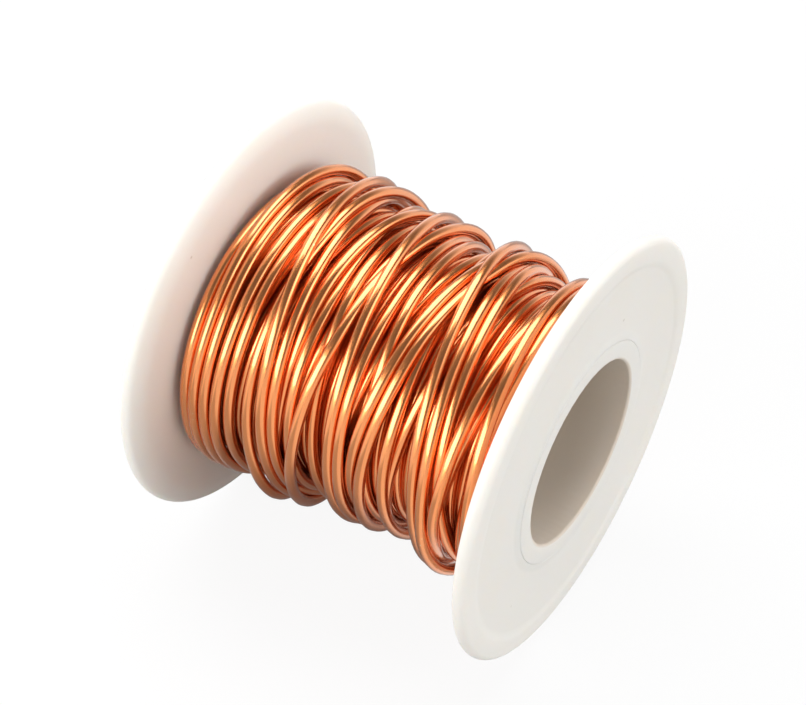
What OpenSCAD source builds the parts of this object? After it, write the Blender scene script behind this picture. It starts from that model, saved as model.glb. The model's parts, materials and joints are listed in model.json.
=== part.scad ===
// Wire spool: a hub tube with two flanges, wound with enamelled copper wire.
// The spool's axis is X and it lies on its rims; the origin is the middle of the bore.

/* [Spool] */
// Outside diameter of each flange
flange_d = 50.8; // [47:0.2:60]
// Length of the spool over its two flanges
spool_l = 44.4; // [34:0.2:56]
// Thickness of a flange at its rim land
flange_t = 2.2; // [1.9:0.1:3.2]
// Radius of the rounded edge of a flange
rim_round = 0.85; // [0.5:0.05:0.95]
// Width of the crowned band that leads from a flange's inner face to its rounded edge
crown_w = 2.8; // [2:0.1:4]
// Width of the flat land between the rounded edge and the label panel
rim_land_w = 2.2; // [1:0.1:3.4]
// Depth of the label panel below the land
panel_depth = 0.25; // [0.1:0.05:0.5]

/* [Hub] */
// Diameter of the through bore
bore_d = 22.2; // [19:0.1:23.6]
// Wall of the hub tube where it passes through a flange
spigot_wall = 2.35; // [1.8:0.05:2.6]
// Height of the shoulder that a flange seats against
shoulder_h = 0.5; // [0.3:0.05:0.8]
// Radius of the rounding at the bore's two mouths
mouth_round = 0.3; // [0.15:0.05:0.6]
// Radial clearance of the hub tube in a flange, which the cement fills
seat_fit = 0.04; // [0.02:0.01:0.08]

/* [Winding] */
// Diameter of the enamelled wire
wire_d = 1.35; // [1:0.01:1.45]
// Height of the winding above the hub tube at the left flange, under the crossing strands
left_h = 4; // [2.6:0.05:6]
// Height of the winding above the hub tube at the right flange, under the crossing strands
right_h = 3; // [2.6:0.05:6]
// Height of the swell where the turns have piled up
swell_h = 0.3; // [0:0.1:1.2]
// Place of the swell along the axis
swell_x = -10; // [-13:0.5:0]
// Half width of the swell
swell_w = 8; // [7:0.5:12]
// Clear gap to leave between turns that lie side by side
turn_gap = 0.6; // [0.5:0.02:0.8]
// Clear gap between the layer and the strands that cross over it
cross_gap = 0.46; // [0.46:0.02:0.8]
// Number of turns that the crossing strand takes from flange to flange
cross_turns = 5.1; // [3.1:1:5.1]
// Gap between the winding and a flange's inner face
side_gap = 0.3; // [0.2:0.05:0.5]
// Gap between the outer layer and the inner layers that it lies on
bed_gap = 0.2; // [0.18:0.02:0.3]

/* [Hidden] */
$fn = 128;

PLASTIC = [0.93, 0.92, 0.89];
COPPER = [0.76, 0.40, 0.18];
EPS = 0.01;

// Spool: radii, and places along the axis
flange_r = flange_d / 2;
bore_r = bore_d / 2;
spigot_r = bore_r + spigot_wall;
barrel_r = spigot_r + shoulder_h;
half_l = spool_l / 2;
inner_face = half_l - flange_t;
flange_hole_r = spigot_r + seat_fit;
rim_centre = [flange_r - rim_round, flange_t - rim_round];
panel_r = rim_centre.x - rim_land_w;

// The crown's arc leaves the inner face and runs into the rounded edge, tangent to both
crown_start = flange_r - crown_w;
crown_reach = rim_centre - [crown_start, 0];
crown_r = (crown_reach * crown_reach - rim_round * rim_round) / (2 * (crown_reach.y - rim_round));
crown_centre = [crown_start, crown_r];

// Winding: one layer of turns over the inner layers, then a strand that crosses back over it.
// Angles are from +Y towards +Z. Turns count from the layer's start, by the left flange.
SIDES = 6;
RINGS = 24;
CLIMB = 1 / 6;
SETTLE = 1 / 6;
EASED = 0.15;
START_ANGLE = 284;
BEND_STEPS = 4;
CORE_STEPS = 36;
END_TOUCH = 0.02;
end_bend_r = wire_d;
end_x = inner_face - side_gap - wire_d / 2;
layer_turns = floor(2 * end_x / (wire_d + turn_gap)) - 0.2;
pitch = 2 * end_x / (layer_turns + 1);
start_x = pitch - end_x;
all_turns = layer_turns + cross_turns;

function smooth(u) = let (v = min(max(u, 0), 1)) v * v * (3 - 2 * v);

// 0 to 1 at an even pace but for a start and a finish that are eased
function steady(u) =
    u < 0.5 ? (u < EASED ? max(u, 0) ^ 2 / (2 * EASED) : u - EASED / 2) / (1 - EASED) : 1 - steady(1 - u);
function swell(x) = swell_h * (1 + cos(180 * min(abs(x - swell_x) / swell_w, 1))) / 2;
function winding_h(x) = (left_h + right_h) / 2 + (right_h - left_h) * x / (2 * inner_face) + swell(x);
function turn_r(x) = barrel_r + winding_h(x) - wire_d / 2;
function core_r(x) = turn_r(x) - wire_d / 2 - bed_gap;
function cross_r(x) = turn_r(x) + wire_d + cross_gap;
function polar(x, r, angle) = [x, r * cos(angle), r * sin(angle)];
function degrees_along(length, r) = length / r * 180 / PI;

// Where the wire is after a number of turns: across the layer, then back over it
function wire_x(turns) =
    turns <= layer_turns
        ? start_x + pitch * turns
        : end_x - 2 * end_x * steady((turns - layer_turns - CLIMB) / (cross_turns - CLIMB));
function wire_r(turns) =
    let (x = wire_x(turns))
    turns <= layer_turns
        ? turn_r(x) + (1 - smooth(turns / SETTLE)) * (core_r(x) + END_TOUCH + wire_d + end_bend_r - turn_r(x))
        : turn_r(x) + smooth((turns - layer_turns) / CLIMB) * (cross_r(x) - turn_r(x));
function wire_angle(turns) = START_ANGLE - 360 * turns;

// An end of the wire: a bend from the winding's direction to the radial one, then a straight stub
// down to the inner layers. way is 1 at the finish and -1 at the start.
function wire_end(turns, way) =
    let (x = wire_x(turns), r = wire_r(turns), angle = wire_angle(turns))
    let (turned = angle - way * degrees_along(end_bend_r, r))
    concat(
        [for (i = [1 : BEND_STEPS])
            let (bend = 90 * i / BEND_STEPS)
            polar(x, r - end_bend_r * (1 - cos(bend)), angle - way * degrees_along(end_bend_r * sin(bend), r))],
        [polar(x, core_r(x) + END_TOUCH, turned)]
    );

function reversed(list) = [for (i = [len(list) - 1 : -1 : 0]) list[i]];
wire_path = concat(
    reversed(wire_end(0, -1)),
    [for (i = [0 : RINGS * all_turns]) polar(wire_x(i / RINGS), wire_r(i / RINGS), wire_angle(i / RINGS))],
    wire_end(all_turns, 1)
);

// Least distance between the surfaces of two stretches of the wire, half a turn or more apart
wire_gap = min([
    for (i = [0 : len(wire_path) - 1], k = [i + RINGS / 2 : 1 : len(wire_path) - 1])
        norm(wire_path[i] - wire_path[k])
]) - wire_d;
echo(layer_turns = layer_turns, pitch = pitch, least_gap_of_the_wire_to_itself = wire_gap);

function unit(v) = v / norm(v);

// A closed tube of the given radius along a path that never runs along X for long
module swept_tube(path, radius) {
    last = len(path) - 1;
    rings = [
        for (i = [0 : last])
            let (along = unit(path[min(i + 1, last)] - path[max(i - 1, 0)]))
            let (side = unit([1, 0, 0] - along.x * along))
            let (up = cross(along, side))
            [for (k = [0 : SIDES - 1])
                path[i] + radius * (cos(360 * k / SIDES) * side + sin(360 * k / SIDES) * up)]
    ];
    walls = [
        for (i = [0 : last - 1], k = [0 : SIDES - 1])
            let (a = i * SIDES + k, b = i * SIDES + (k + 1) % SIDES)
            each [[a, a + SIDES, b], [b, a + SIDES, b + SIDES]]
    ];
    first_cap = [for (k = [1 : SIDES - 2]) [0, k, k + 1]];
    last_cap = [for (k = [1 : SIDES - 2]) [last * SIDES, last * SIDES + k + 1, last * SIDES + k]];
    polyhedron([for (r = rings) each r], concat(walls, first_cap, last_cap));
}

// Stands what is drawn round Z along the spool's axis
module along_axis() {
    rotate([0, 90, 0]) children();
}

// What is cut from a square corner at the origin to round it; the solid lies towards +x, +y
module corner_cut(radius) {
    difference() {
        translate([-EPS, -EPS]) square(radius + EPS);
        translate([radius, radius]) circle(radius);
    }
}

module hub_tube() {
    color(PLASTIC) along_axis() rotate_extrude() difference() {
        union() {
            translate([bore_r, -inner_face]) square([barrel_r - bore_r, 2 * inner_face]);
            translate([bore_r, -half_l]) square([spigot_r - bore_r, spool_l]);
        }
        for (way = [0, 1]) mirror([0, way]) translate([bore_r, -half_l]) corner_cut(mouth_round);
    }
}

// Half section of a flange: inner face at y = 0, rim land at y = flange_t
module flange_section() {
    outward = unit(rim_centre - crown_centre);
    difference() {
        union() {
            translate([flange_hole_r, 0]) square([crown_start - flange_hole_r, flange_t]);
            intersection() {
                translate(crown_centre) circle(crown_r);
                polygon([
                    [crown_start, -EPS],
                    rim_centre + 2 * rim_round * outward,
                    rim_centre,
                    [rim_centre.x, flange_t],
                    [crown_start, flange_t]
                ]);
            }
            translate(rim_centre) circle(rim_round);
        }
        polygon([
            [flange_hole_r - EPS, flange_t - panel_depth],
            [panel_r - panel_depth, flange_t - panel_depth],
            [panel_r + EPS, flange_t + EPS],
            [flange_hole_r - EPS, flange_t + EPS]
        ]);
    }
}

module flange() {
    color(PLASTIC) along_axis() translate([0, 0, inner_face]) rotate_extrude() flange_section();
}

module left_flange() {
    mirror([1, 0, 0]) flange();
}

module right_flange() {
    flange();
}

// The layers under the outer one, as a plain core that carries the swell
module inner_layers() {
    core_half = inner_face - side_gap;
    outline = [
        for (i = [0 : CORE_STEPS])
            let (x = core_half * (2 * i / CORE_STEPS - 1))
            [core_r(x), x]
    ];
    color(COPPER) along_axis() rotate_extrude() polygon(concat(
        [[barrel_r + seat_fit, -core_half]],
        outline,
        [[barrel_r + seat_fit, core_half]]
    ));
}

module outer_turns() {
    color(COPPER) swept_tube(wire_path, wire_d / 2);
}

hub_tube();
left_flange();
right_flange();
inner_layers();
outer_turns();
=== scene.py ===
"""Dresses the wire spool: moulded plastic flanges on a hub tube, and the copper wire wound on it."""

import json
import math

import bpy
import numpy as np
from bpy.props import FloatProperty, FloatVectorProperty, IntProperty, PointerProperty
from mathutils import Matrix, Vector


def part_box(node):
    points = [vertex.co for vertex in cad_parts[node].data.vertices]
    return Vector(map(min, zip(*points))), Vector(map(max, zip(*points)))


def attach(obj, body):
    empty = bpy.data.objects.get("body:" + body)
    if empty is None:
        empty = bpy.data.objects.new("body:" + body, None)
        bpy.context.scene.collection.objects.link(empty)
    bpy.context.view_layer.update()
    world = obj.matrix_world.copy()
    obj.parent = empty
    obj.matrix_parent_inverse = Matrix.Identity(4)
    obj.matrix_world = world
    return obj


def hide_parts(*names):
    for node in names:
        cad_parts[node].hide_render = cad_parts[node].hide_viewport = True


bl_info = {
    "name": "Wire Spool",
    "version": (1, 0, 0),
    "blender": (4, 5, 0),
    "location": "View3D > Sidebar > Wire Spool",
    "description": "Builds a flanged plastic spool wound with enamelled copper wire",
    "category": "Add Mesh",
}

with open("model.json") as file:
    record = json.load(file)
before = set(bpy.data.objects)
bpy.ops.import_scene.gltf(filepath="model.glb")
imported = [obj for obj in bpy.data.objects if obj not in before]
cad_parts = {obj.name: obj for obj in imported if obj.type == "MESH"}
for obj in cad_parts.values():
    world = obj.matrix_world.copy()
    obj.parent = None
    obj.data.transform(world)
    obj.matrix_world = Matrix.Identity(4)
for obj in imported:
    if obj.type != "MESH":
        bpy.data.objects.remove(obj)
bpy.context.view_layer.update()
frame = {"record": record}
MM = 0.001
BODY = "root"

# Sizes that the frame holds. The spool's axis is X and its middle is the origin.
HALF_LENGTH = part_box("hub_tube")[1].x
BARREL_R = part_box("hub_tube")[1].z
FLANGE_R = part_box("right_flange")[1].z
INNER_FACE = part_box("right_flange")[0].x
BORE_R = next(m for m in frame["record"]["mounts"] if m["name"] == "bore")["dims"]["r_mm"] * MM
FLOOR_Z = -FLANGE_R


# ---------------------------------------------------------------- settings


class MouldingSettings(bpy.types.PropertyGroup):
    """The plastic mouldings."""

    edge_round: FloatProperty(
        name="Edge rounding", description="Radius of a flange's rounded edge",
        default=0.85 * MM, unit="LENGTH")
    crown_width: FloatProperty(
        name="Crown width", description="Width of the crowned band on a flange's inner face",
        default=2.8 * MM, unit="LENGTH")
    land_width: FloatProperty(
        name="Rim land", description="Width of the flat ring outside the label panel",
        default=2.2 * MM, unit="LENGTH")
    panel_depth: FloatProperty(
        name="Panel depth", description="Depth of the label panel below the rim land",
        default=0.25 * MM, unit="LENGTH")
    shoulder: FloatProperty(
        name="Shoulder", description="Height of the step that a flange seats against",
        default=0.5 * MM, unit="LENGTH")
    mouth_round: FloatProperty(
        name="Mouth rounding", description="Radius of the edge at the bore's mouths",
        default=0.3 * MM, unit="LENGTH")
    warp: FloatProperty(
        name="Warp", description="How far a flange leaves its plane", default=0.06 * MM, unit="LENGTH")
    colour: FloatVectorProperty(
        name="Plastic", description="Colour of the natural plastic", subtype="COLOR",
        size=3, default=(0.835, 0.81, 0.76), min=0, max=1)


class WindingSettings(bpy.types.PropertyGroup):
    """The wire and how it is wound."""

    wire: FloatProperty(
        name="Wire", description="Diameter of the enamelled wire", default=1.34 * MM, unit="LENGTH")
    stations: IntProperty(
        name="Stations", description="Places round each turn at which the turns are settled", default=48)
    sides: IntProperty(name="Sides", description="Sides of the wire's tube", default=12)
    seed: IntProperty(name="Seed", description="Seed of the winder's wander", default=7)
    copper: FloatVectorProperty(
        name="Copper", description="Colour of the enamelled copper", subtype="COLOR",
        size=3, default=(0.97, 0.34, 0.107), min=0, max=1)


class StudioSettings(bpy.types.PropertyGroup):
    """The camera, the lights and the floor."""

    azimuth: FloatProperty(
        name="Azimuth", description="Camera's turn from the front towards the right",
        default=math.radians(32.17), subtype="ANGLE")
    elevation: FloatProperty(
        name="Elevation", description="Camera's height above the horizon",
        default=math.radians(46.65), subtype="ANGLE")
    distance: FloatProperty(
        name="Distance", description="Distance from the camera to the spool",
        default=255.8 * MM, unit="LENGTH")
    aside: FloatProperty(
        name="Aside", description="How far right of the picture's middle the spool lies",
        default=0.9 * MM, unit="LENGTH")
    below: FloatProperty(
        name="Below", description="How far below the picture's middle the spool lies",
        default=2.46 * MM, unit="LENGTH")
    lens: FloatProperty(name="Lens", description="Focal length", default=100.6, unit="CAMERA")
    ceiling: FloatProperty(name="Ceiling", description="Brightness of the room overhead", default=0.15)
    walls: FloatProperty(name="Walls", description="Brightness of the room's pale walls", default=0.63)
    fill: FloatProperty(
        name="Fill", description="Brightness of the room on the right, behind the spool", default=4.0)
    overhead: FloatProperty(
        name="Overhead softbox", description="Brightness of the softbox above and behind", default=3.9)
    front: FloatProperty(
        name="Front softbox", description="Brightness of the softbox in front", default=4.5)
    shaded: FloatProperty(
        name="Shaded strip",
        description="Width of the strip of floor under the spool that isn't mirrored as white",
        default=66 * MM, unit="LENGTH")


# ---------------------------------------------------------------- shader maths


class Value:
    """A shader socket in a Python expression: each operation on it adds a Math node."""

    def __init__(self, shader, socket):
        self.shader = shader
        self.socket = socket

    def _math(self, operation, *inputs):
        return self.shader.node("ShaderNodeMath", {"operation": operation}, dict(enumerate(inputs)))

    def __add__(self, other):
        return self._math("ADD", self, other)

    def __sub__(self, other):
        return self._math("SUBTRACT", self, other)

    def __mul__(self, other):
        return self._math("MULTIPLY", self, other)

    def __pow__(self, other):
        return self._math("POWER", self, other)

    def __rsub__(self, other):
        return self._math("SUBTRACT", other, self)

    def __abs__(self):
        return self._math("ABSOLUTE", self)

    __radd__ = __add__
    __rmul__ = __mul__

    def atan2(self, other):
        return self._math("ARCTAN2", self, other)

    def above(self, edge, softness):
        """0 below the edge and 1 above it, with a smooth step that is softness wide."""
        settings = {"interpolation_type": "SMOOTHSTEP"}
        return self.shader.node("ShaderNodeMapRange", settings, {
            "Value": self, "From Min": edge - softness / 2, "From Max": edge + softness / 2})

    def band(self, centre, width, softness):
        """1 within half a width of the centre and 0 beyond it."""
        return 1 - abs(self - centre).above(width / 2, softness)


class Shader:
    """A node tree, and short ways to write what is in it."""

    def __init__(self, tree):
        self.tree = tree
        self.tree.nodes.clear()

    def node(self, kind, settings=None, inputs=None, output=0):
        """Adds a node: its settings are made first, then its sockets get values or links."""
        made = self.tree.nodes.new(kind)
        for name, setting in (settings or {}).items():
            setattr(made, name, setting)
        for name, value in (inputs or {}).items():
            if isinstance(value, Value):
                self.tree.links.new(value.socket, made.inputs[name])
            else:
                made.inputs[name].default_value = value
        return Value(self, made.outputs[output]) if made.outputs else None

    def place(self):
        """Where a point is, in the spool's frame, in metres."""
        return self.node("ShaderNodeTexCoord", output=3)

    def split(self, vector):
        made = self.node("ShaderNodeSeparateXYZ", inputs={0: vector})
        return [Value(self, made.socket.node.outputs[i]) for i in range(3)]

    def join(self, x, y, z):
        return self.node("ShaderNodeCombineXYZ", inputs={0: x, 1: y, 2: z})

    def noise(self, vector, scale, detail=3.0, roughness=0.5):
        return self.node("ShaderNodeTexNoise", inputs={
            "Vector": vector, "Scale": scale, "Detail": detail, "Roughness": roughness})

    def cells(self, vector, scale):
        """Distance to the nearest of the points scattered through space."""
        return self.node("ShaderNodeTexVoronoi", {"feature": "F1"}, {"Vector": vector, "Scale": scale})

    def mix(self, factor, colour_a, colour_b, blend="MIX"):
        settings = {"data_type": "RGBA", "blend_type": blend}
        return self.node("ShaderNodeMix", settings, {0: factor, 6: colour_a, 7: colour_b}, output=2)

    def bump(self, height, strength, distance):
        return self.node("ShaderNodeBump", inputs={
            "Strength": strength, "Distance": distance, "Height": height})

    def ray_kinds(self):
        """1 for a ray from the camera, from a glossy surface or through a clear one, and otherwise 0."""
        rays = self.node("ShaderNodeLightPath").socket.node
        kinds = ("Camera", "Glossy", "Transmission")
        return [Value(self, rays.outputs[f"Is {kind} Ray"]) for kind in kinds]

    def surface(self, shader):
        self.node("ShaderNodeOutputMaterial", inputs={"Surface": shader})


def new_shader(name):
    material = bpy.data.materials.new(name)
    material.use_nodes = True
    return material, Shader(material.node_tree)


def colour4(colour, share=1.0):
    return tuple(channel * share for channel in colour) + (1.0,)


# ---------------------------------------------------------------- materials

# What is mixed into the plastic: yellowed flow lines, dark specks, painted shade that darkens and warms
# the inside of the bore, and the faintly greyer label panel
FLOW_TINT = (0.84, 0.80, 0.71, 1)
SPECK_TINT = (0.42, 0.36, 0.28, 1)
PAINTED_BORE_SHADE = (0.62, 0.50, 0.38, 1)
PANEL_SHADE = (0.98, 0.98, 0.98, 1)
# What is mixed into the copper: darker drawing lines and pale scuffs
DRAWN_TINT = (0.89, 0.28, 0.078, 1)
SCUFF_TINT = (0.95, 0.66, 0.42, 1)


def natural_plastic(settings, name, seed):
    """Milky plastic, with flow marks, specks and a satin skin."""
    material, sh = new_shader(name)
    place = sh.node("ShaderNodeVectorMath", {"operation": "ADD"}, {0: sh.place(), 1: (seed, seed, seed)})
    x, y, z = sh.split(sh.place())
    radius = (y * y + z * z) ** 0.5
    flow = sh.noise(place, 130, detail=4)
    clouds = sh.noise(place, 45, detail=2)
    grain = sh.noise(place, 2600, detail=3, roughness=0.65)
    fine = sh.noise(place, 7000, detail=2)
    specks = 1 - sh.cells(place, 210).above(0.045, 0.03)
    speck_mask = specks * sh.noise(place, 60, detail=0).above(0.56, 0.06)
    base = sh.mix(clouds.above(0.5, 0.5), colour4(settings.colour, 0.985), colour4(settings.colour))
    base = sh.mix(flow.above(0.58, 0.2) * 0.25, base, FLOW_TINT)
    base = sh.mix(speck_mask * 0.5, base, SPECK_TINT)
    outer_face = abs(x).above(HALF_LENGTH - 0.6 * MM, 0.2 * MM)
    panel_r = FLANGE_R - settings.edge_round - settings.land_width
    panel = outer_face * (1 - radius.above(panel_r, 0.6 * MM))
    base = sh.mix(panel, base, sh.mix(1.0, base, PANEL_SHADE, "MULTIPLY"))
    ring_marks = sh.noise(sh.join(x * 40, radius, 0.0), 1500, detail=2)
    # painted shade and painted warm bounced light: the colour of the bore's wall and mouths is darkened
    # and warmed
    bore = 1 - radius.above(BORE_R + settings.mouth_round, 0.3 * MM)
    base = sh.mix(bore * 0.55, base, PAINTED_BORE_SHADE)
    height = grain * 0.5 + fine * 0.25 + ring_marks * 0.35 + clouds * 0.8
    roughness = 0.42 + grain * 0.12 + flow * 0.08
    sh.surface(sh.node("ShaderNodeBsdfPrincipled", inputs={
        "Base Color": base,
        "Roughness": roughness,
        "IOR": 1.49,
        "Subsurface Weight": 0.35,
        "Subsurface Radius": (1.0, 0.8, 0.6),
        "Subsurface Scale": 1.2 * MM,
        "Specular IOR Level": 0.42,
        "Normal": sh.bump(height, 0.28, 0.04 * MM),
    }))
    return material


def enamelled_copper(settings):
    """Copper under a clear amber enamel, drawn lengthwise, with small scuffs."""
    material, sh = new_shader("enamelled_copper")
    x, y, z = sh.split(sh.place())
    radius = (y * y + z * z) ** 0.5
    angle = z.atan2(y)
    # squeezed round the axis, so that the noise draws out into lines along the wire
    along = sh.join(x, angle * 0.0012, radius)
    drawn = sh.noise(along, 2600, detail=3, roughness=0.6)
    patches = sh.noise(sh.place(), 110, detail=3)
    mottle = sh.noise(sh.place(), 900, detail=3, roughness=0.6)
    scuffs = 1 - sh.cells(sh.place(), 420).above(0.05, 0.03)
    scuffs = scuffs * sh.noise(sh.place(), 150, detail=0).above(0.6, 0.05)
    base = sh.mix(patches.above(0.5, 0.5), colour4(settings.copper), colour4(settings.copper, 0.92))
    base = sh.mix(drawn.above(0.55, 0.3) * 0.35, base, DRAWN_TINT)
    base = sh.mix(scuffs * 0.6, base, SCUFF_TINT)
    roughness = 0.20 + mottle * 0.03 + drawn * 0.06
    height = drawn * 0.6 + mottle * 0.4
    sh.surface(sh.node("ShaderNodeBsdfPrincipled", inputs={
        "Base Color": base,
        "Metallic": 1.0,
        "Roughness": roughness,
        "Coat Weight": 1.0,
        "Coat Roughness": 0.06,
        "Coat IOR": 1.5,
        "Normal": sh.bump(height, 0.10, 0.03 * MM),
    }))
    return material


# ---------------------------------------------------------------- meshes


def arc(centre, radius, start, end, steps):
    """Points of an arc in the plane of distance along the axis and radius; angles in degrees."""
    angles = [math.radians(start + (end - start) * i / steps) for i in range(steps + 1)]
    return [(centre[0] + radius * math.cos(a), centre[1] + radius * math.sin(a)) for a in angles]


def ease(u):
    """0 to 1, with a smooth start and finish."""
    u = np.clip(u, 0, 1)
    return u * u * (3 - 2 * u)


def new_piece(name, points, faces, material, slot, *nodes):
    """Makes a smooth closed mesh that stands for CAD nodes."""
    mesh = bpy.data.meshes.new(name)
    mesh.from_pydata(points, [], faces)
    mesh.validate()
    mesh.materials.append(material)
    mesh.shade_smooth()
    piece = bpy.data.objects.new(name, mesh)
    bpy.context.scene.collection.objects.link(piece)
    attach(piece, BODY)
    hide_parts(*nodes)
    return piece


def lathe(profile, segments, move=None):
    """Turns a closed profile round X.

    The profile is a list of places along X and radii, clockwise with X to the right and the radius
    upwards, so that the faces look outwards. move takes arrays of x, radius and angle and gives back
    changed arrays of x and radius.
    """
    profile = np.array(profile)
    angle = np.linspace(0, 2 * math.pi, segments, endpoint=False)
    x = np.repeat(profile[:, :1], segments, 1)
    radius = np.repeat(profile[:, 1:], segments, 1)
    angle = np.repeat(angle[None, :], len(profile), 0)
    if move:
        x, radius = move(x, radius, angle)
    points = np.stack([x, radius * np.cos(angle), radius * np.sin(angle)], -1).reshape(-1, 3)
    count = len(profile)
    i, k = np.meshgrid(np.arange(count), np.arange(segments), indexing="ij")
    i2, k2 = (i + 1) % count, (k + 1) % segments
    quads = np.stack([i * segments + k, i * segments + k2, i2 * segments + k2, i2 * segments + k], -1)
    return points.tolist(), quads.reshape(-1, 4).tolist()


def sweep(path, radius, sides):
    """A closed tube along a path that never runs along X."""
    along = np.gradient(path, axis=0)
    along /= np.linalg.norm(along, axis=1)[:, None]
    side = np.array([1.0, 0, 0]) - along[:, :1] * along
    side /= np.linalg.norm(side, axis=1)[:, None]
    up = np.cross(along, side)
    turn = np.linspace(0, 2 * math.pi, sides, endpoint=False)[None, :, None]
    rings = path[:, None] + radius * (np.cos(turn) * side[:, None] + np.sin(turn) * up[:, None])
    count = len(path)
    i, k = np.meshgrid(np.arange(count - 1), np.arange(sides), indexing="ij")
    k2 = (k + 1) % sides
    quads = np.stack([i * sides + k, i * sides + k2, (i + 1) * sides + k2, (i + 1) * sides + k], -1)
    faces = quads.reshape(-1, 4).tolist()
    faces.append(list(range(sides))[::-1])
    faces.append([(count - 1) * sides + k for k in range(sides)])
    return rings.reshape(-1, 3).tolist(), faces


# ---------------------------------------------------------------- mouldings

LATHE_SEGMENTS = 256


def hub_profile(s):
    """The tube's outline: bore, rounded mouths, spigots and the shoulders that the flanges seat on."""
    spigot_r = BARREL_R - s.shoulder
    edge = 0.12 * MM
    bore_steps = 12
    bore = [(HALF_LENGTH * 0.9 * (1 - 2 * i / bore_steps), BORE_R) for i in range(bore_steps + 1)]
    half = [
        *arc((HALF_LENGTH - s.mouth_round, BORE_R + s.mouth_round), s.mouth_round, 270, 360, 6),
        *arc((HALF_LENGTH - edge, spigot_r - edge), edge, 0, 90, 4),
        (INNER_FACE, spigot_r),
        (INNER_FACE, BARREL_R),
    ]
    return bore + [(-x, r) for x, r in half] + half[::-1]


def flange_profile(s):
    """The flange's outline at +X: crowned inner face, rounded rim, rim land and sunken label panel."""
    seat_gap = 0.015 * MM
    hole_r = BARREL_R - s.shoulder + seat_gap
    edge = 0.06 * MM
    rim = (HALF_LENGTH - s.edge_round, FLANGE_R - s.edge_round)
    crown_start = FLANGE_R - s.crown_width
    reach = (rim[0] - INNER_FACE, rim[1] - crown_start)
    crown_r = (reach[0] ** 2 + reach[1] ** 2 - s.edge_round ** 2) / (2 * (reach[0] - s.edge_round))
    crown_end = math.degrees(math.atan2(reach[1], reach[0] - crown_r))
    panel_r = rim[1] - s.land_width
    floor_x = HALF_LENGTH - s.panel_depth
    # the panel's floor eases up to the land outside it, and nearly as high round the hub
    ramp = 1.2 * MM
    steps = 8
    slope = [
        (HALF_LENGTH - s.panel_depth * ease(i / steps), panel_r + ramp * (0.5 - i / steps))
        for i in range(steps + 1)
    ]
    hub_rise = 0.8 * s.panel_depth
    rise = [(floor_x + hub_rise * ease(i / steps), hole_r + ramp * (1 - i / steps)) for i in range(steps)]
    flat_out, flat_in = panel_r - ramp / 2, hole_r + ramp
    return [
        (INNER_FACE, hole_r),
        *[(INNER_FACE, hole_r + (crown_start - hole_r) * i / 6) for i in range(1, 6)],
        *arc((INNER_FACE + crown_r, crown_start), crown_r, 180, crown_end, 10),
        *arc(rim, s.edge_round, crown_end, 0, 12)[1:],
        (HALF_LENGTH, (rim[1] + panel_r) / 2),
        *slope,
        *[(floor_x, flat_out + (flat_in - flat_out) * i / 6) for i in range(1, 6)],
        *rise,
        *arc((floor_x + hub_rise - edge, hole_r + edge), edge, 0, -90, 3),
    ]


def wavy(s, phase):
    """A slight warp and out of round, as a thin moulding has."""

    def move(x, radius, angle):
        reach = ease((radius - BARREL_R) / (FLANGE_R - BARREL_R))
        x = x + s.warp * reach * np.sin(2 * angle + phase)
        radius = radius - s.warp * reach * (0.5 + 0.5 * np.cos(3 * angle + 2 * phase))
        return x, radius
    return move


def nicked(s, phase):
    """Small nicks round the bore's mouths, where the flash was trimmed."""
    depth = 0.06 * MM

    def move(x, radius, angle):
        lip = (radius < BORE_R + s.mouth_round) & (abs(x) > HALF_LENGTH - 1.2 * s.mouth_round)
        ripple = np.sin(37 * angle + phase) * np.sin(23 * angle + 2 * phase) * np.sin(61 * angle)
        return x, radius + lip * depth * ripple
    return move


class SPOOL_OT_hub_tube(bpy.types.Operator):
    """Turn the hub tube with its bore, shoulders and trimmed mouths"""

    bl_idname = "spool.hub_tube"
    bl_label = "Hub Tube"

    def execute(self, context):
        s = context.scene.spool_moulding
        points, faces = lathe(hub_profile(s), LATHE_SEGMENTS, nicked(s, 0.7))
        plastic = natural_plastic(s, "natural_plastic_hub", 0.31)
        new_piece("moulded_hub_tube", points, faces, plastic, "plastic", "hub_tube")
        return {"FINISHED"}


class SPOOL_OT_flanges(bpy.types.Operator):
    """Turn the two flanges, each with its rounded rim and label panel"""

    bl_idname = "spool.flanges"
    bl_label = "Flanges"

    def execute(self, context):
        s = context.scene.spool_moulding
        for name, way, phase in (("left", -1, 2.1), ("right", 1, 0.4)):
            points, faces = lathe(flange_profile(s), LATHE_SEGMENTS, wavy(s, phase))
            if way < 0:
                points = [(-x, y, z) for x, y, z in points]
                faces = [face[::-1] for face in faces]
            plastic = natural_plastic(s, f"natural_plastic_{name}", phase)
            new_piece(f"moulded_{name}_flange", points, faces, plastic, "plastic", f"{name}_flange")
        return {"FINISHED"}


# ---------------------------------------------------------------- winding


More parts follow.
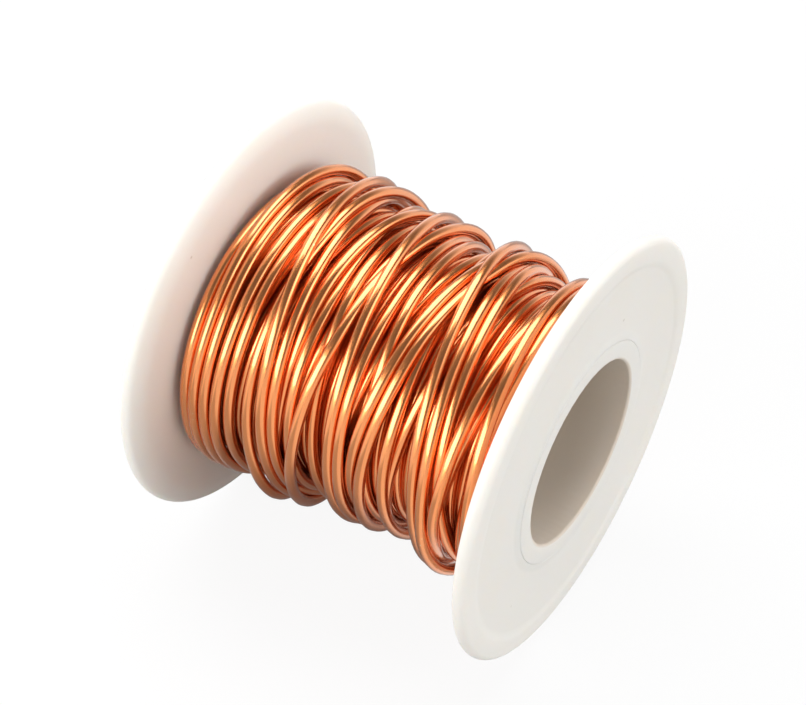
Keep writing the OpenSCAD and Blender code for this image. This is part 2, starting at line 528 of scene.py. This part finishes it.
def wire_route(s, limit):
    """Where the winder's guide is along X, and which layer it lays, after each number of turns.

    Whole turns are where the wire passes the middle of the side that is seen, going downwards.
    """
    # turns, place along X and layer: a level layer to the right, and a second one back to the left
    level_winding = [
        (0.4, -limit, 0.0), (28.9, limit, 0.0),
        (29.4, limit, 1.0), (33.4, -7 * MM, 1.0), (40.5, -limit, 1.0),
    ]
    # loose turns, one a row: layer, and millimetres along X 60 degrees above the middle, at the middle,
    # and 60 and 90 degrees below it
    loose_turns = (
        (2.0, -18.7, -18.6, -18.3, -18.0),
        (2.0, -16.2, -16.1, -15.9, -15.8),
        (2.0, -11.8, -12.9, -13.2, -13.0),
        (2.0, -6.3, -5.6, -5.2, -5.0),
        (2.0, -4.4, -3.0, -2.4, -2.2),
        (2.0, 3.0, 3.0, 3.8, 5.0),
        (2.0, 5.5, 6.9, 7.2, 7.5),
        (2.0, 10.0, 12.4, 14.8, 16.0),
        (2.4, 15.4, 14.9, 13.4, 13.2),
        (2.8, 6.2, 3.8, 1.8, 2.2),
        (2.8, -6.2, -6.7, -6.6, -6.6),
        (2.8, -13.8, -14.5, -14.7, -14.5),
        (3.2, -10.0, -7.9, -6.9, -6.6),
        (3.0, 1.0, 1.2, 1.3, 0.8),
        (3.2, 8.6, 11.4, 13.4, 15.2),
        (3.2, 16.6, 17.0, 16.9, 16.9),
        (3.4, 8.3, 5.4, 3.0, 3.8),
        (3.8, -1.0, -3.7, -4.8, -6.0),
        (3.8, -9.6, -10.9, -10.9, -8.6),
        (3.8, -18.4, -17.2, -18.4, -17.0),
        (4.2, -11.6, -8.7, -7.6, -7.2),
        (4.2, -2.7, 0.0, 0.6, 0.0),
        (4.2, 7.1, 9.8, 11.8, 11.6),
        (4.0, 16.3, 17.5, 17.4, 17.4),
    )
    first = 41
    stops = list(level_winding)
    for row, (layer, *places) in enumerate(loose_turns):
        for twelfth, place in zip((-2, 0, 2, 3), places):
            stops.append((first + row + twelfth / 12, place * MM, layer))
    stops.append((first + len(loose_turns) - 0.5, limit, 4.0))
    return np.array(stops)


def smooth_along(values, times):
    """Evens out a line of values in place, all but its two ends."""
    for _ in range(times):
        values[1:-1] = (values[:-2] + 2 * values[1:-1] + values[2:]) / 4
    return values


def settle(x, radius, stations, wire, limit):
    """Pulls the turns in towards the hub until they rest on each other.

    x and radius are the wire's centre at every station; at one station all the turns lie in one
    half plane through the axis, where no two centres may come closer than the wire's diameter.
    """
    steps = 240
    pull_fast, pull_slow = 0.03 * MM, 0.008 * MM
    guide_share = 0.02
    stiffness = 0.6
    far_off = 1.0  # where the empty places of the grids of turns and stations lie
    floor_r = BARREL_R + wire / 2
    total = len(x)
    spare = (-total) % stations
    guide = x.copy()
    for step in range(steps):
        pull = pull_fast if step < 0.75 * steps else pull_slow if step < 0.9 * steps else 0.0
        radius = radius - pull
        x = x + (guide - x) * guide_share
        for line in (x, radius):
            bend = np.zeros_like(line)
            bend[2:-2] = (line[:-4] + 4 * line[1:-3] - 10 * line[2:-2] + 4 * line[3:-1] + line[4:]) / 10
            line += stiffness * bend
        for _ in range(2):
            grid_x = np.append(x, np.full(spare, far_off)).reshape(-1, stations)
            grid_r = np.append(radius, np.full(spare, far_off)).reshape(-1, stations)
            apart_x = grid_x[:, None] - grid_x[None]
            apart_r = grid_r[:, None] - grid_r[None]
            late, early, place = np.nonzero(apart_x ** 2 + apart_r ** 2 < wire ** 2)
            pair = late > early
            late, early, place = late[pair], early[pair], place[pair]
            px, pr = apart_x[late, early, place], apart_r[late, early, place]
            gap = np.sqrt(px ** 2 + pr ** 2) + 1e-9
            px, pr = px / gap * (wire - gap), pr / gap * (wire - gap)
            # of two turns that meet, the later one yields more, as the earlier ones are bedded
            yields = np.clip(0.5 + (late - early) / 80, 0.5, 0.85)
            cells = np.concatenate([late * stations + place, early * stations + place])
            size = grid_x.size
            met = np.sqrt(np.maximum(1, np.bincount(cells, minlength=size)))
            shift_x = np.bincount(cells, np.concatenate([px * yields, -px * (1 - yields)]), size) / met
            shift_r = np.bincount(cells, np.concatenate([pr * yields, -pr * (1 - yields)]), size) / met
            x = np.clip(x + shift_x[:total], -limit, limit)
            radius = np.maximum(radius + shift_r[:total], floor_r)
    return x, radius


def wound_wire(s, facing):
    """The wire's centre line, from the hub to the last turn on top."""
    # the wire's centre keeps a little over half its diameter from the flanges
    limit = INNER_FACE - 0.62 * s.wire
    stops = wire_route(s, limit)
    turns = np.arange(int(stops[0, 0] * s.stations), int(stops[-1, 0] * s.stations)) / s.stations
    x = np.interp(turns, stops[:, 0], stops[:, 1])
    layer = np.interp(turns, stops[:, 0], stops[:, 2])
    rng = np.random.default_rng(s.seed)
    wander_at = np.arange(0, 120, 0.37)
    wander = np.interp(turns, wander_at, rng.normal(0, 1, len(wander_at)))
    loose = ease((layer - 2) / 0.2)
    below = np.sin(2 * math.pi * turns)
    # the second layer snakes as it goes back; every turn over the first one wanders, the loose ones less
    x = x - 1.5 * MM * below * ease(layer * 4 - 2) * (layer < 1.5)
    x = x + smooth_along(wander, 6) * MM * (0.30 * ease(layer - 0.5) - 0.15 * loose)
    x = smooth_along(np.clip(x, -limit, limit), 3)
    # laid with space between the layers, which settling takes up
    radius = BARREL_R + s.wire / 2 + layer * s.wire * 1.25
    x, radius = settle(x, radius, s.stations, s.wire, limit)
    # slack: at the left all the loose turns hang a little lower, and one of them hangs free
    free_turn = 59.25
    hang = (layer > 1.5) * ease(below) * ease((-12 * MM - x) / (3 * MM))
    free = np.exp(-((turns - free_turn) / 0.10) ** 2)
    radius = radius + 1.0 * MM * hang + 1.4 * MM * free
    x = x + 1.2 * MM * free
    fine = np.linspace(turns[0], turns[-1], 2 * len(turns) - 1)
    x, radius = np.interp(fine, turns, x), np.interp(fine, turns, radius)
    x, radius = smooth_along(x, 2), smooth_along(radius, 2)
    angle = facing + 2 * math.pi * fine
    return np.stack([x, radius * np.cos(angle), radius * np.sin(angle)], -1)


class SPOOL_OT_winding(bpy.types.Operator):
    """Wind the copper wire on the hub, turn by turn, and settle it"""

    bl_idname = "spool.winding"
    bl_label = "Copper Winding"

    def execute(self, context):
        s = context.scene.spool_winding
        studio = context.scene.spool_studio
        towards = camera_direction(studio)
        facing = math.atan2(towards.z, towards.y)
        path = wound_wire(s, facing)
        points, faces = sweep(path, s.wire / 2, s.sides)
        copper = enamelled_copper(s)
        new_piece("copper_winding", points, faces, copper, "wire", "inner_layers", "outer_turns")
        return {"FINISHED"}


# ---------------------------------------------------------------- studio

FLOOR_REACH = 6.0
# The floor's own grey, and how much of the light and shadow on it shows over its white
PAPER_GREY = (0.34, 0.34, 0.34, 1)
SHADOW_GREY = (0.075, 0.075, 0.075, 1)
SOFTBOX_DISTANCE = 0.7
SOFTBOX_WIDTH = 1.0
# Name, direction from the spool, height of the lamp's face and the setting that holds its brightness
SOFTBOXES = (
    ("softbox_overhead", (-0.36, 0.32, 0.88), 0.52, "overhead"),
    ("softbox_front", (-0.36, -0.84, 0.41), 0.34, "front"),
)


def camera_direction(s):
    """The direction from the spool to the camera."""
    level = math.cos(s.elevation)
    return Vector((math.sin(s.azimuth) * level, -math.cos(s.azimuth) * level, math.sin(s.elevation)))


def place_camera(s):
    back = camera_direction(s)
    right = Vector((math.cos(s.azimuth), math.sin(s.azimuth), 0))
    up = back.cross(right)
    data = bpy.data.cameras.new("camera")
    data.lens = s.lens
    data.clip_start = 0.01
    data.clip_end = 20
    camera = bpy.data.objects.new("camera", data)
    bpy.context.scene.collection.objects.link(camera)
    place = back * s.distance - right * s.aside + up * s.below
    camera.matrix_world = Matrix.Translation(place) @ Matrix((right, up, back)).transposed().to_4x4()
    bpy.context.scene.camera = camera


def softbox(name, towards, height, brightness):
    """An area lamp that faces the spool; brightness is what its face shows, where 1 is white."""
    data = bpy.data.lights.new(name, "AREA")
    data.shape = "RECTANGLE"
    data.size = SOFTBOX_WIDTH
    data.size_y = height
    data.energy = brightness * math.pi * SOFTBOX_WIDTH * height
    lamp = bpy.data.objects.new(name, data)
    bpy.context.scene.collection.objects.link(lamp)
    towards = Vector(towards).normalized()
    along = Vector((1, 0, 0))
    along = (along - along.dot(towards) * towards).normalized()
    turn = Matrix((along, towards.cross(along), towards)).transposed().to_4x4()
    lamp.matrix_world = Matrix.Translation(towards * SOFTBOX_DISTANCE) @ turn


def light_room(s):
    """Pale walls under a dim ceiling, brighter at the right behind the spool, and white to the camera.

    Wire and plastic mirror the room as it is, but the foot of its walls as white, like the floor.
    """
    world = bpy.data.worlds.new("studio")
    world.use_nodes = True
    bpy.context.scene.world = world
    sh = Shader(world.node_tree)
    dx, dy, dz = sh.split(sh.node("ShaderNodeTexCoord"))
    lower = 1 - dz.above(0.30, 0.40)
    right_behind = dx.above(0.75, 0.4) * dy.above(-0.2, 0.6)
    foot = 1 - dz.above(0.12, 0.2)
    room = s.ceiling + (s.walls - s.ceiling) * lower
    room = room + (s.fill - room) * right_behind
    camera, glossy, transmission = sh.ray_kinds()
    white = camera + (glossy + transmission) * foot
    strength = room + white * (1 - room)
    background = sh.node("ShaderNodeBackground", inputs={"Color": (1, 1, 1, 1), "Strength": strength})
    sh.node("ShaderNodeOutputWorld", inputs={"Surface": background})


def lay_floor(s):
    """A wide floor of grey paper that the camera and the wire see as white but for the spool's shadow."""
    mesh = bpy.data.meshes.new("floor")
    signs = ((-1, -1), (1, -1), (1, 1), (-1, 1))
    corners = [(FLOOR_REACH * x, FLOOR_REACH * y, FLOOR_Z) for x, y in signs]
    mesh.from_pydata(corners, [], [(0, 1, 2, 3)])
    floor = bpy.data.objects.new("floor", mesh)
    bpy.context.scene.collection.objects.link(floor)
    material, sh = new_shader("pale_floor")
    plain = sh.node("ShaderNodeBsdfDiffuse", inputs={"Color": PAPER_GREY})
    faint = sh.node("ShaderNodeBsdfDiffuse", inputs={"Color": SHADOW_GREY})
    glow = sh.node("ShaderNodeEmission", inputs={"Color": (1, 1, 1, 1), "Strength": 0.90})
    white = sh.node("ShaderNodeAddShader", inputs={0: faint, 1: glow})
    camera, glossy, transmission = sh.ray_kinds()
    aside = 1 - sh.split(sh.place())[0].band(-20 * MM, s.shaded, 16 * MM)
    whitened = camera + (glossy + transmission) * aside
    sh.surface(sh.node("ShaderNodeMixShader", inputs={0: whitened, 1: plain, 2: white}))
    mesh.materials.append(material)


class SPOOL_OT_studio(bpy.types.Operator):
    """Set the camera, the floor, the room and the softboxes"""

    bl_idname = "spool.studio"
    bl_label = "Studio"

    def execute(self, context):
        s = context.scene.spool_studio
        place_camera(s)
        lay_floor(s)
        light_room(s)
        for name, towards, height, setting in SOFTBOXES:
            softbox(name, towards, height, getattr(s, setting))
        context.scene.view_settings.view_transform = "Standard"
        return {"FINISHED"}


# ---------------------------------------------------------------- add-on


class SPOOL_PT_parts(bpy.types.Panel):
    """Lists the spool's pieces and their settings"""

    bl_label = "Wire Spool"
    bl_space_type = "VIEW_3D"
    bl_region_type = "UI"
    bl_category = "Wire Spool"

    def draw(self, context):
        layout = self.layout
        groups = (
            (context.scene.spool_moulding, (SPOOL_OT_hub_tube, SPOOL_OT_flanges)),
            (context.scene.spool_winding, (SPOOL_OT_winding,)),
            (context.scene.spool_studio, (SPOOL_OT_studio,)),
        )
        for settings, operators in groups:
            box = layout.box()
            for name in settings.__annotations__:
                box.prop(settings, name)
            for operator in operators:
                box.operator(operator.bl_idname)


CLASSES = (
    MouldingSettings,
    WindingSettings,
    StudioSettings,
    SPOOL_OT_hub_tube,
    SPOOL_OT_flanges,
    SPOOL_OT_winding,
    SPOOL_OT_studio,
    SPOOL_PT_parts,
)


def register():
    for cls in CLASSES:
        bpy.utils.register_class(cls)
    bpy.types.Scene.spool_moulding = PointerProperty(type=MouldingSettings)
    bpy.types.Scene.spool_winding = PointerProperty(type=WindingSettings)
    bpy.types.Scene.spool_studio = PointerProperty(type=StudioSettings)


def unregister():
    del bpy.types.Scene.spool_moulding
    del bpy.types.Scene.spool_winding
    del bpy.types.Scene.spool_studio
    for cls in reversed(CLASSES):
        bpy.utils.unregister_class(cls)


def main():
    register()
    bpy.ops.spool.hub_tube()
    bpy.ops.spool.flanges()
    bpy.ops.spool.winding()
    bpy.ops.spool.studio()


if __name__ == "__main__":
    main()
